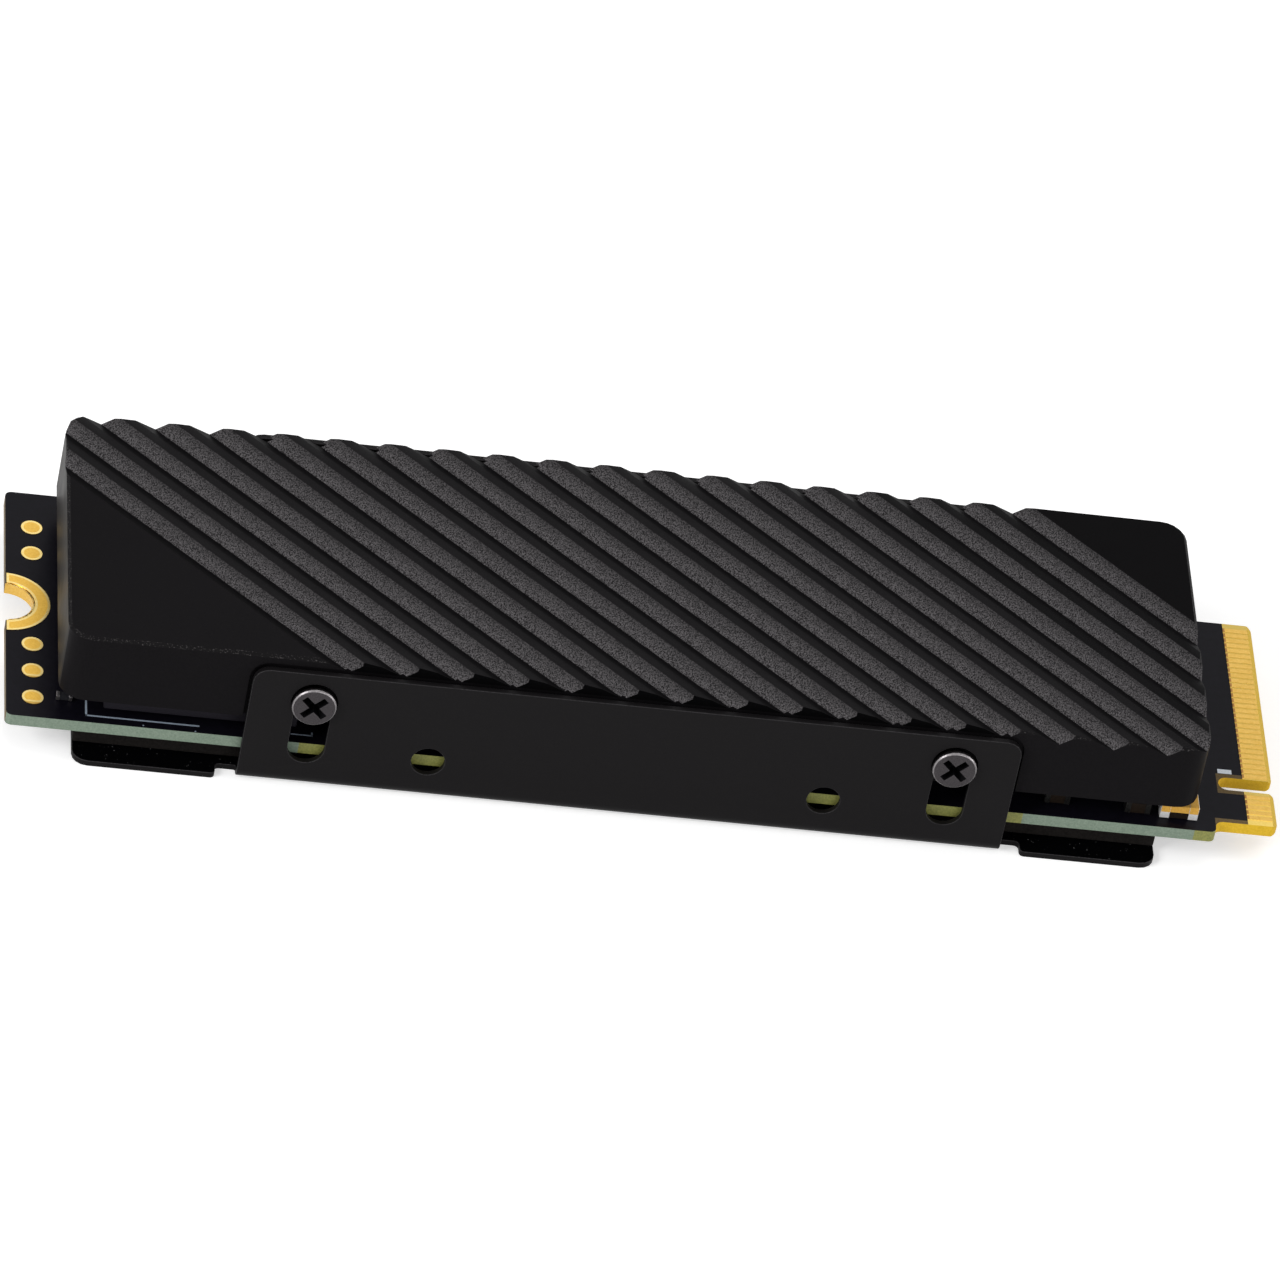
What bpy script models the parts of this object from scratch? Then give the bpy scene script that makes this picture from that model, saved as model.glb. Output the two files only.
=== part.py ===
"""Gumstick solid state drive with a grooved heatsink held on by a folded steel bracket.

Metres, +Z up. The origin is on the bracket's underside, below the middle of the circuit board.
+X runs from the screw notch to the contacts, and the board's component side faces up.
"""

import math

import bmesh
import bpy
from mathutils import Matrix, Vector

MM = 0.001

# Clearances
SEAT = 0.03 * MM  # between two pieces that touch on the real drive
BALL_HEIGHT = 0.25 * MM  # solder balls under a large package
COPPER_OVERLAP = 0.10 * MM  # how far raised copper reaches down into the board

# Circuit board
BOARD_LENGTH = 80.0 * MM
BOARD_WIDTH = 22.0 * MM
BOARD_THICKNESS = 0.8 * MM
BOARD_CORNER = 0.4 * MM
TONGUE_LENGTH = 4.0 * MM
TONGUE_INSET = 1.075 * MM  # from each side of the board
SHOULDER_FILLET = 0.5 * MM
BEVEL_RUN = 0.30 * MM
BEVEL_RISE = 0.18 * MM
KEY_CENTRE = -6.125 * MM
KEY_WIDTH = 1.2 * MM
KEY_DEPTH = 3.5 * MM
KEY_MOUTH = 0.25 * MM
NOTCH_RADIUS = 1.8 * MM

# Copper on the board
COPPER_RISE = 0.04 * MM
COPPER_PULLBACK = 0.06 * MM  # from a routed edge
CONTACT_PITCH = 0.5 * MM
CONTACT_WIDTH = 0.35 * MM
CONTACT_LENGTH = 1.6 * MM
CONTACT_MARGIN = 0.5 * MM  # from the tongue's side to the first contact
RING_RADIUS = 2.8 * MM
TEST_PAD_RADIUS = 0.675 * MM
TEST_PAD_INSET = 1.66 * MM  # from the notch end
TEST_PAD_PITCH = 2.575 * MM
NEAR_TEST_PADS = 3
NEAR_TEST_PAD_MARGIN = 1.89 * MM
FAR_TEST_PADS = 2
FAR_TEST_PAD_MARGIN = 3.42 * MM

# Stack from the bracket's underside to the heatsink
SHEET = 0.4 * MM
LOWER_PAD_THICKNESS = 1.7 * MM
PACKAGE_HEIGHT = 1.2 * MM
UPPER_PAD_THICKNESS = 0.7 * MM
PAD_MARGIN = 1.0 * MM  # from each side of the board
UPPER_PAD_MARGIN = 2.75 * MM  # from each end of the heatsink

# Packages on the board
MEMORY_LENGTH = 12.0 * MM
MEMORY_END_MARGIN = 6.0 * MM  # from the notch end to the outer memory package
MEMORY_NEAR_MARGIN = 1.15 * MM
MEMORY_FAR_MARGIN = 2.85 * MM
DRAM_LENGTH = 9.0 * MM
DRAM_WIDTH = 14.0 * MM
CONTROLLER_SIDE = 14.0 * MM
CONTROLLER_MARGIN = 19.4 * MM  # from the controller to the contact end
PACKAGE_GAP = 2.5 * MM
PACKAGE_ACROSS = -0.6 * MM
BROKEN_EDGE = 0.06 * MM

# Power parts, each placed from the contact end and from the board's middle line or its near side
POWER_CHIP_SIDE = 4.0 * MM
POWER_CHIP_HEIGHT = 0.85 * MM
POWER_CHIP_PLACE = (13.8 * MM, 3.6 * MM)
CRYSTAL_SIZE = (2.5 * MM, 2.0 * MM, 0.6 * MM)
CRYSTAL_PLACE = (16.1 * MM, -5.6 * MM)
INDUCTOR_SIZE = (2.5 * MM, 2.0 * MM, 1.1 * MM)
INDUCTOR_COLUMN = 9.4 * MM
INDUCTOR_PLACES = {"core": 7.2 * MM, "memory": 4.3 * MM, "input": 1.4 * MM}
POLYMER_SIZE = (2.4 * MM, 1.4 * MM, 1.0 * MM)
POLYMER_END = 0.6 * MM
POLYMER_PLACE = (6.4 * MM, 1.6 * MM)

# Small two-ended parts: size along, across and up, then the length of each metal end
SMALL_CAPACITOR_SIZE = (1.0 * MM, 0.5 * MM, 0.5 * MM)
SMALL_CAPACITOR_END = 0.25 * MM
LARGE_CAPACITOR_SIZE = (1.6 * MM, 0.8 * MM, 0.8 * MM)
LARGE_CAPACITOR_END = 0.35 * MM
RESISTOR_SIZE = (1.0 * MM, 0.5 * MM, 0.35 * MM)
RESISTOR_END = 0.22 * MM
END_LIP = 0.03 * MM
MEMORY_CAPACITOR_STEP = 6.0 * MM
DRAM_PART_STEP = 3.6 * MM
CONTROLLER_PART_STEP = 3.4 * MM
OUTER_RESISTOR_PLACE = (3.6 * MM, 2.05 * MM)  # from the notch end and the near side
NEAR_SIDE_CAPACITORS = [(14.1 * MM, 1.65 * MM), (9.0 * MM, 1.45 * MM)]
COLUMN_CAPACITORS = [-1.2 * MM, -3.2 * MM, -5.2 * MM]
CHIP_CAPACITOR_RISE = 3.8 * MM  # across the board from the power chip's middle
CHIP_RESISTOR_DROP = 5.0 * MM
CHIP_RESISTOR_STEP = 2.6 * MM

# Heatsink
SINK_NOTCH_MARGIN = 3.0 * MM  # from the board's notch end
SINK_CONTACT_MARGIN = 5.5 * MM  # from the board's contact end
SINK_OVERHANG = 0.24 * MM  # past each side of the board
SINK_CORNER = 1.6 * MM
SINK_EDGE = 0.2 * MM
FLOOR_HEIGHT = 4.26 * MM  # groove bottoms above the heatsink's underside
RIB_HEIGHT = 0.72 * MM  # rib crests above the groove bottoms
PLAIN_RISE = 0.03 * MM  # plain corners above the rib crests
CROWN_RADIUS = 1850.0 * MM  # the top's curve along the ribs
CROWN_FACET = 5.0 * MM
RIB_ANGLE = math.radians(45.7)  # ribs run from the far left to the near right
GROOVE_PITCH = 2.448 * MM
RIB_FRONT = 0.72 * MM  # from a groove's bottom across the steep wall to the crest
RIB_SHOULDER = (1.46 * MM, 0.59 * MM)  # from the groove's bottom, across and up
NEAR_CORNER_PLAIN = 12.45 * MM  # from the near left corner to the first groove
FAR_CORNER_PLAIN = 7.6 * MM  # at least, from the last groove to the far right corner
POCKET_MARGIN = 0.2 * MM  # round a flap, in the heatsink's side

# Bracket
FLAP_CLEARANCE = 0.3 * MM  # from a flap to the board and to the floor of the heatsink's pocket
BRACKET_NOTCH_MARGIN = 1.4 * MM  # from the heatsink's ends
BRACKET_CONTACT_MARGIN = 2.0 * MM
BRACKET_CORNER = 1.0 * MM
BEND_RADIUS = 0.45 * MM  # inside the bend
BEND_STEPS = 5
FLAP_NOTCH_MARGIN = 11.6 * MM  # from the heatsink's ends
FLAP_CONTACT_MARGIN = 11.9 * MM
FLAP_DROP = 0.82 * MM  # flap tops below the rib crests
FLAP_CORNER = 1.0 * MM
RELIEF_WIDTH = 1.3 * MM
RELIEF_PAST_BEND = 0.12 * MM
RELIEF_CORNER = 0.3 * MM
ROUND_HOLE_RADIUS = 1.05 * MM
ROUND_HOLE_HEIGHT = 2.95 * MM
ROUND_HOLE_INSET = 11.6 * MM  # from the flap's ends

# Screws and the keyholes that they pass through
SHANK_RADIUS = 0.95 * MM
SHANK_LENGTH = 3.4 * MM
TIP_CHAMFER = 0.25 * MM
HOLE_CLEARANCE = 0.08 * MM
HOLE_PAST_TIP = 0.4 * MM
SLOT_CLEARANCE = 0.2 * MM
SLOT_BOTTOM = 1.94 * MM
KEYHOLE_CLEARANCE = 0.04 * MM
KEYHOLE_RISE = 0.16 * MM  # the round part's middle above the screw
SCREW_INSET = 3.98 * MM  # from the flap's ends
SCREW_RISE = 1.79 * MM  # above the heatsink's underside
HEAD_RADIUS = 1.4 * MM
HEAD_THICKNESS = 0.32 * MM
HEAD_CHAMFER = 0.1 * MM
RECESS_SPAN = 1.5 * MM
RECESS_BLADE = 0.34 * MM
RECESS_DEPTH = 0.8 * MM
RECESS_TAPER = 0.55  # the cross at its bottom against its mouth

# Levels that follow from the stack
BOARD_BOTTOM = SHEET + LOWER_PAD_THICKNESS
BOARD_TOP = BOARD_BOTTOM + BOARD_THICKNESS
PACKAGE_TOP = BOARD_TOP + PACKAGE_HEIGHT
SINK_BOTTOM = PACKAGE_TOP + UPPER_PAD_THICKNESS
GROOVE_FLOOR = SINK_BOTTOM + FLOOR_HEIGHT
FLAP_TOP = GROOVE_FLOOR + RIB_HEIGHT - FLAP_DROP
SCREW_HEIGHT = SINK_BOTTOM + SCREW_RISE

# Ends and sides that follow from the board
NOTCH_END = -BOARD_LENGTH / 2
CONTACT_END = BOARD_LENGTH / 2
NEAR_SIDE = -BOARD_WIDTH / 2
FAR_SIDE = BOARD_WIDTH / 2
TONGUE_SIDE = FAR_SIDE - TONGUE_INSET
SINK_LEFT = NOTCH_END + SINK_NOTCH_MARGIN
SINK_RIGHT = CONTACT_END - SINK_CONTACT_MARGIN
SINK_CENTRE = (SINK_LEFT + SINK_RIGHT) / 2
SINK_SIDE = FAR_SIDE + SINK_OVERHANG
BRACKET_LEFT = SINK_LEFT + BRACKET_NOTCH_MARGIN
BRACKET_RIGHT = SINK_RIGHT - BRACKET_CONTACT_MARGIN
BRACKET_SIDE = FAR_SIDE + FLAP_CLEARANCE + SHEET
FLAP_LEFT = SINK_LEFT + FLAP_NOTCH_MARGIN
FLAP_RIGHT = SINK_RIGHT - FLAP_CONTACT_MARGIN
BEND_LINE = BRACKET_SIDE - SHEET - BEND_RADIUS
BEND_ARC = math.pi / 2 * (BEND_RADIUS + SHEET / 2)
SCREW_PLACES = (FLAP_LEFT + SCREW_INSET, FLAP_RIGHT - SCREW_INSET)
ROUND_HOLE_PLACES = (FLAP_LEFT + ROUND_HOLE_INSET, FLAP_RIGHT - ROUND_HOLE_INSET)
SLOT_RADIUS = SHANK_RADIUS + SLOT_CLEARANCE
KEYHOLE_RADIUS = HEAD_RADIUS + KEYHOLE_CLEARANCE
KEYHOLE_HEIGHT = SCREW_HEIGHT + KEYHOLE_RISE

ROUND_STEPS = 24


def clear_scene():
    for old in list(bpy.data.objects):
        bpy.data.objects.remove(old, do_unlink=True)


def new_collection(name):
    collection = bpy.data.collections.new(name)
    bpy.context.scene.collection.children.link(collection)
    return collection


clear_scene()
drive = new_collection("gumstick_drive")
cutters = new_collection("cutters")


def new_material(name, colour, roughness, metallic=0.0):
    material = bpy.data.materials.new(name)
    material.diffuse_color = (*colour, 1.0)
    material.use_nodes = True
    shader = material.node_tree.nodes["Principled BSDF"]
    shader.inputs["Base Color"].default_value = (*colour, 1.0)
    shader.inputs["Roughness"].default_value = roughness
    shader.inputs["Metallic"].default_value = metallic
    return material


def add_object(name, mesh, collection):
    obj = bpy.data.objects.new(name, mesh)
    collection.objects.link(obj)
    if collection is cutters:
        obj.hide_render = True
        obj.display_type = "WIRE"
    return obj


def mesh_from(name, bm):
    bmesh.ops.recalc_face_normals(bm, faces=bm.faces)
    mesh = bpy.data.meshes.new(name)
    bm.to_mesh(mesh)
    bm.free()
    return mesh


def add_box(bm, low, high):
    low, high = Vector(low), Vector(high)
    matrix = Matrix.Translation((low + high) / 2) @ Matrix.Diagonal((*(high - low), 1.0))
    return bmesh.ops.create_cube(bm, size=1.0, matrix=matrix)["verts"]


def add_cylinder(bm, centre, radius, length, turn=None, steps=ROUND_STEPS):
    """A cylinder along Z about its centre, or along the axis that turn lays Z on."""
    matrix = Matrix.Translation(centre) @ (turn or Matrix.Identity(4))
    bmesh.ops.create_cone(
        bm, cap_ends=True, segments=steps, radius1=radius, radius2=radius, depth=length, matrix=matrix
    )


def box_object(name, low, high, collection=drive):
    bm = bmesh.new()
    add_box(bm, low, high)
    return add_object(name, mesh_from(name, bm), collection)


def boolean(obj, other, operation):
    modifier = obj.modifiers.new(operation.lower(), "BOOLEAN")
    modifier.operation = operation
    modifier.object = other
    modifier.solver = "EXACT"


def soften(obj, width, segments=1):
    modifier = obj.modifiers.new("edges", "BEVEL")
    modifier.width = width
    modifier.segments = segments
    modifier.limit_method = "ANGLE"


def shade_round(obj, angle=math.radians(35)):
    obj.data.shade_smooth()
    obj.data.set_sharp_from_angle(angle=angle)


def applied(obj):
    """The object's mesh with its modifiers applied, as a mesh of its own."""
    graph = bpy.context.evaluated_depsgraph_get()
    return bpy.data.meshes.new_from_object(obj.evaluated_get(graph))


def arc(centre, radius, start, end, steps):
    """Points of an arc from one angle to another, in degrees, both ends included."""
    points = []
    for step in range(steps + 1):
        angle = math.radians(start + (end - start) * step / steps)
        points.append((centre[0] + radius * math.cos(angle), centre[1] + radius * math.sin(angle)))
    return points


def filleted(corners, steps=4):
    """Outline points of a polygon whose corners are (x, y, radius); a radius of 0 stays sharp."""
    points = []
    for index, (x, y, radius) in enumerate(corners):
        corner = Vector((x, y))
        before = Vector(corners[index - 1][:2]) - corner
        after = Vector(corners[(index + 1) % len(corners)][:2]) - corner
        if radius == 0:
            points.append(corner)
            continue
        before.normalize()
        after.normalize()
        half_angle = before.angle(after) / 2
        middle = corner + (before + after).normalized() * radius / math.sin(half_angle)
        start = corner + before * radius / math.tan(half_angle) - middle
        sweep = -start.angle_signed(corner + after * radius / math.tan(half_angle) - middle)
        for step in range(steps + 1):
            turned = start.copy()
            turned.rotate(Matrix.Rotation(sweep * step / steps, 2))
            points.append(middle + turned)
    return points


def extruded(name, loops, thickness):
    """A welded mesh of a flat outline with holes, lying in XY with its middle at Z = 0."""
    curve = bpy.data.curves.new(name, "CURVE")
    curve.dimensions = "2D"
    curve.fill_mode = "BOTH"
    curve.extrude = thickness / 2
    for loop in loops:
        spline = curve.splines.new("POLY")
        spline.points.add(len(loop) - 1)
        spline.use_cyclic_u = True
        for point, place in zip(spline.points, loop):
            point.co = (place[0], place[1], 0.0, 1.0)
    guide = add_object(name, curve, cutters)
    mesh = applied(guide)
    bpy.data.objects.remove(guide)
    bpy.data.curves.remove(curve)
    bm = bmesh.new()
    bm.from_mesh(mesh)
    bpy.data.meshes.remove(mesh)
    bmesh.ops.remove_doubles(bm, verts=bm.verts, dist=0.001 * MM)
    return bm


def split_at(bm, point, normal):
    geometry = bm.verts[:] + bm.edges[:] + bm.faces[:]
    bmesh.ops.bisect_plane(bm, geom=geometry, dist=0.0002 * MM, plane_co=point, plane_no=normal)


def finish(obj, material):
    obj.data.materials.clear()
    obj.data.materials.append(material)
    return obj


def board_outline():
    shoulder = CONTACT_END - TONGUE_LENGTH
    slot_end = CONTACT_END - KEY_DEPTH
    slot_low = KEY_CENTRE - KEY_WIDTH / 2
    slot_high = KEY_CENTRE + KEY_WIDTH / 2
    slot_round = KEY_WIDTH / 2 * 0.98
    body = [
        (NOTCH_END, NEAR_SIDE, BOARD_CORNER),
        (shoulder, NEAR_SIDE, BOARD_CORNER),
        (shoulder, -TONGUE_SIDE, SHOULDER_FILLET),
        (CONTACT_END, -TONGUE_SIDE, BOARD_CORNER),
        (CONTACT_END, slot_low, KEY_MOUTH),
        (slot_end, slot_low, slot_round),
        (slot_end, slot_high, slot_round),
        (CONTACT_END, slot_high, KEY_MOUTH),
        (CONTACT_END, TONGUE_SIDE, BOARD_CORNER),
        (shoulder, TONGUE_SIDE, SHOULDER_FILLET),
        (shoulder, FAR_SIDE, BOARD_CORNER),
        (NOTCH_END, FAR_SIDE, BOARD_CORNER),
    ]
    return filleted(body) + arc((NOTCH_END, 0), NOTCH_RADIUS, 90, -90, ROUND_STEPS)


def bevel_contact_end(bm):
    """Thins the board towards the contact end, equally from both faces."""
    start = CONTACT_END - BEVEL_RUN
    split_at(bm, (start, 0, 0), (1, 0, 0))
    for vertex in bm.verts:
        past = max(0.0, vertex.co.x - start)
        vertex.co.z -= math.copysign(past / BEVEL_RUN * BEVEL_RISE, vertex.co.z)


def contact_rows():
    """(place across the board, side) of each contact; side is 1 on top and -1 underneath."""
    gap = (KEY_WIDTH + CONTACT_WIDTH) / 2
    row = 2 * (TONGUE_SIDE - CONTACT_MARGIN) - CONTACT_WIDTH
    top_contacts = round(row / CONTACT_PITCH) + 1
    for count, side in ((top_contacts, 1), (top_contacts - 1, -1)):
        first = (count - 1) / 2 * CONTACT_PITCH
        for index in range(count):
            place = first - index * CONTACT_PITCH
            if abs(place - KEY_CENTRE) > gap:
                yield place, side


def copper_layer(side):
    """(low, high) of raised copper on one face of the board."""
    face = BOARD_TOP if side > 0 else BOARD_BOTTOM
    return sorted((face - side * COPPER_OVERLAP, face + side * COPPER_RISE))


def ring_outline():
    inner = NOTCH_RADIUS + COPPER_PULLBACK
    edge = NOTCH_END + COPPER_PULLBACK
    lean_out = math.degrees(math.acos(COPPER_PULLBACK / RING_RADIUS))
    lean_in = math.degrees(math.acos(COPPER_PULLBACK / inner))
    outside = arc((NOTCH_END, 0), RING_RADIUS, -lean_out, lean_out, ROUND_STEPS)
    inside = arc((NOTCH_END, 0), inner, lean_in, -lean_in, ROUND_STEPS)
    return [(max(x, edge), y) for x, y in outside + inside]


def test_pad_places():
    for pad in range(NEAR_TEST_PADS):
        yield NEAR_SIDE + NEAR_TEST_PAD_MARGIN + pad * TEST_PAD_PITCH
    for pad in range(FAR_TEST_PADS):
        yield FAR_SIDE - FAR_TEST_PAD_MARGIN - pad * TEST_PAD_PITCH


def make_copper():
    """The contacts, the screw ring on both faces and the round test pads, as one cutter to join."""
    bm = bmesh.new()
    outer = CONTACT_END - BEVEL_RUN
    for place, side in contact_rows():
        low, high = copper_layer(side)
        add_box(
            bm,
            (outer - CONTACT_LENGTH, place - CONTACT_WIDTH / 2, low),
            (outer, place + CONTACT_WIDTH / 2, high),
        )
    low, high = copper_layer(1)
    for place in test_pad_places():
        centre = (NOTCH_END + TEST_PAD_INSET, place, (low + high) / 2)
        add_cylinder(bm, centre, TEST_PAD_RADIUS, high - low, steps=20)
    copper = add_object("copper", mesh_from("copper", bm), cutters)
    for side in (1, -1):
        low, high = copper_layer(side)
        ring = extruded("ring", [ring_outline()], high - low)
        bmesh.ops.translate(ring, verts=ring.verts, vec=(0, 0, (low + high) / 2))
        boolean(copper, add_object("ring", mesh_from("ring", ring), cutters), "UNION")
    return copper


def make_board():
    bm = extruded("board", [board_outline()], BOARD_THICKNESS)
    bevel_contact_end(bm)
    bmesh.ops.translate(bm, verts=bm.verts, vec=(0, 0, (BOARD_BOTTOM + BOARD_TOP) / 2))
    board = add_object("circuit_board", mesh_from("circuit_board", bm), drive)
    boolean(board, make_copper(), "UNION")
    shade_round(board)
    return finish(board, new_material("black_solder_mask", (0.02, 0.02, 0.025), 0.4))


def chip_box(name, place, size, material, rise=SEAT):
    """A plain moulded block about a place on the board, with slightly broken edges."""
    x, y = place
    length, width, height = size
    low = (x - length / 2, y - width / 2, BOARD_TOP + rise)
    high = (x + length / 2, y + width / 2, BOARD_TOP + height)
    chip = box_object(name, low, high)
    soften(chip, BROKEN_EDGE)
    return finish(chip, material)


def from_contacts(place):
    """A place given from the contact end and across from the middle line."""
    return CONTACT_END - place[0], place[1]


def from_near_side(place):
    """A place given from the contact end and from the near side."""
    return CONTACT_END - place[0], NEAR_SIDE + place[1]


def package_places():
    """(name, middle, length, width) of the large packages, from the controller to the notch end."""
    controller = CONTACT_END - CONTROLLER_MARGIN - CONTROLLER_SIDE / 2
    yield "controller", (controller, PACKAGE_ACROSS), CONTROLLER_SIDE, CONTROLLER_SIDE
    dram = controller - CONTROLLER_SIDE / 2 - PACKAGE_GAP - DRAM_LENGTH / 2
    yield "dram_package", (dram, PACKAGE_ACROSS), DRAM_LENGTH, DRAM_WIDTH
    near = NEAR_SIDE + MEMORY_NEAR_MARGIN
    far = FAR_SIDE - MEMORY_FAR_MARGIN
    place = NOTCH_END + MEMORY_END_MARGIN + MEMORY_LENGTH / 2
    last = dram - DRAM_LENGTH / 2 - PACKAGE_GAP - MEMORY_LENGTH / 2
    number = 1
    while place < last + SEAT:
        yield f"memory_package_{number}", (place, (near + far) / 2), MEMORY_LENGTH, far - near
        place += MEMORY_LENGTH + PACKAGE_GAP
        number += 1


def beside(place, width, side):
    """Midway between a package's edge and the side of the board, on the near (-1) or far (1) side."""
    return (place[1] + side * width / 2 + side * FAR_SIDE) / 2


def make_packages():
    material = new_material("black_mould", (0.025, 0.025, 0.027), 0.55)
    for name, place, length, width in package_places():
        chip_box(name, place, (length, width, PACKAGE_HEIGHT - SEAT), material, BALL_HEIGHT)
    size = (POWER_CHIP_SIDE, POWER_CHIP_SIDE, POWER_CHIP_HEIGHT)
    chip_box("power_chip", from_contacts(POWER_CHIP_PLACE), size, material)
    lid = new_material("nickel_lid", (0.6, 0.6, 0.58), 0.3, 1.0)
    chip_box("crystal", from_contacts(CRYSTAL_PLACE), CRYSTAL_SIZE, lid)


def make_inductors():
    material = new_material("grey_ferrite", (0.12, 0.12, 0.125), 0.6)
    for name, across in INDUCTOR_PLACES.items():
        chip_box(f"inductor_{name}", from_contacts((INDUCTOR_COLUMN, across)), INDUCTOR_SIZE, material)


def two_ended_mesh(name, size, end):
    """A small part standing on Z = 0: a body between two slightly larger metal ends."""
    half_length, half_width, height = size[0] / 2, size[1] / 2, size[2]
    bm = bmesh.new()
    add_box(
        bm,
        (END_LIP - half_length, END_LIP - half_width, END_LIP),
        (half_length - END_LIP, half_width - END_LIP, height - END_LIP),
    )
    part = add_object(f"{name}_form", mesh_from(name, bm), cutters)
    for side in (-1, 1):
        low, high = sorted((side * (half_length - end), side * half_length))
        cap = box_object("end", (low, -half_width, 0), (high, half_width, height), cutters)
        soften(cap, END_LIP * 0.8)
        boolean(part, cap, "UNION")
    mesh = applied(part)
    mesh.name = name
    return mesh


def make_two_ended(prefix, size, end, places, material):
    mesh = two_ended_mesh(prefix, size, end)
    for number, (x, y) in enumerate(places, 1):
        part = add_object(f"{prefix}_{number}" if len(places) > 1 else prefix, mesh, drive)
        part.location = (x, y, BOARD_TOP + SEAT)
        finish(part, material)


def small_capacitor_places():
    for name, place, _, width in package_places():
        across = beside(place, width, 1)
        if name.startswith("memory"):
            steps = [-MEMORY_CAPACITOR_STEP / 2, MEMORY_CAPACITOR_STEP / 2]
        elif name == "dram_package":
            steps = [-DRAM_PART_STEP / 2, DRAM_PART_STEP / 2]
        else:
            steps = [-CONTROLLER_PART_STEP, 0.0, CONTROLLER_PART_STEP]
            yield place[0], beside(place, width, -1)
        for step in steps:
            yield place[0] + step, across


def large_capacitor_places():
    for place in NEAR_SIDE_CAPACITORS:
        yield from_near_side(place)
    along, across = POWER_CHIP_PLACE
    yield from_contacts((along, across + CHIP_CAPACITOR_RISE))
    for across in COLUMN_CAPACITORS:
        yield from_contacts((INDUCTOR_COLUMN, across))


def resistor_places():
    along, across = OUTER_RESISTOR_PLACE
    yield NOTCH_END + along, NEAR_SIDE + across
    for name, place, _, width in package_places():
        if name == "dram_package":
            for step in (-DRAM_PART_STEP / 2, DRAM_PART_STEP / 2):
                yield place[0] + step, beside(place, width, -1)
        elif name == "controller":
            yield place[0] - CONTROLLER_PART_STEP, beside(place, width, -1)
    along, across = POWER_CHIP_PLACE
    for step in (-CHIP_RESISTOR_STEP / 2, CHIP_RESISTOR_STEP / 2):
        yield from_contacts((along + step, across - CHIP_RESISTOR_DROP))


def make_small_parts():
    ceramic = new_material("ceramic", (0.35, 0.27, 0.18), 0.5)
    film = new_material("resistor_film", (0.04, 0.04, 0.045), 0.4)
    polymer = new_material("tan_mould", (0.75, 0.55, 0.28), 0.5)
    small = list(small_capacitor_places())
    large = list(large_capacitor_places())
    make_two_ended("small_capacitor", SMALL_CAPACITOR_SIZE, SMALL_CAPACITOR_END, small, ceramic)
    make_two_ended("large_capacitor", LARGE_CAPACITOR_SIZE, LARGE_CAPACITOR_END, large, ceramic)
    make_two_ended("resistor", RESISTOR_SIZE, RESISTOR_END, list(resistor_places()), film)
    place = from_near_side(POLYMER_PLACE)
    make_two_ended("polymer_capacitor", POLYMER_SIZE, POLYMER_END, [place], polymer)


def make_thermal_pads():
    material = new_material("grey_silicone", (0.30, 0.28, 0.30), 0.8)
    near, far = NEAR_SIDE + PAD_MARGIN, FAR_SIDE - PAD_MARGIN
    lower = box_object(
        "lower_thermal_pad",
        (BRACKET_LEFT, near, SHEET + SEAT),
        (BRACKET_RIGHT, far, BOARD_BOTTOM - COPPER_RISE - SEAT),
    )
    upper = box_object(
        "upper_thermal_pad",
        (SINK_LEFT + UPPER_PAD_MARGIN, near, PACKAGE_TOP),
        (SINK_RIGHT - UPPER_PAD_MARGIN, far, SINK_BOTTOM - SEAT),
    )
    finish(lower, material)
    finish(upper, material)


def along_ribs(point):
    """How far a point lies along the ribs from the crown's middle, below the heatsink's centre."""
    return (point.x - SINK_CENTRE) * math.cos(RIB_ANGLE) - point.y * math.sin(RIB_ANGLE)


def crown_drop(distance):
    """How far the top lies below its middle, on facets that are flat from one split to the next."""
    start = (math.floor(distance / CROWN_FACET - 0.5) + 0.5) * CROWN_FACET
    low, high = (CROWN_RADIUS - math.sqrt(CROWN_RADIUS**2 - end**2) for end in (start, start + CROWN_FACET))
    return low + (high - low) * (distance - start) / CROWN_FACET


def edge_low(edge):
    return min(vertex.co.z for vertex in edge.verts)


def make_grooves():
    """One comb that cuts every groove: up the steep wall to the crest, then down two slopes."""
    across = Vector((math.sin(RIB_ANGLE), math.cos(RIB_ANGLE), 0))
    first = across.dot((SINK_LEFT, -SINK_SIDE, 0)) + NEAR_CORNER_PLAIN
    last = across.dot((SINK_RIGHT, SINK_SIDE, 0)) - FAR_CORNER_PLAIN
    ribs = int((last - first) / GROOVE_PITCH)
    shoulder, shoulder_height = RIB_SHOULDER
    mouth = 2 * RIB_HEIGHT
    back = (GROOVE_PITCH - shoulder) / shoulder_height
    profile = [(-mouth * back, mouth), (0, 0)]
    for rib in range(ribs):
        start = rib * GROOVE_PITCH
        profile.append((start + RIB_FRONT, RIB_HEIGHT))
        profile.append((start + shoulder, shoulder_height))
        profile.append((start + GROOVE_PITCH, 0))
    profile.append((ribs * GROOVE_PITCH + mouth * RIB_FRONT / RIB_HEIGHT, mouth))
    mesh = mesh_from("grooves", extruded("grooves", [profile], 2 * BOARD_LENGTH))
    turn = Matrix.Rotation(math.pi / 2 - RIB_ANGLE, 4, "Z") @ Matrix.Rotation(math.pi / 2, 4, "X")
    mesh.transform(Matrix.Translation(across * first + Vector((0, 0, GROOVE_FLOOR))) @ turn)
    return add_object("grooves", mesh, cutters)


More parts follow.
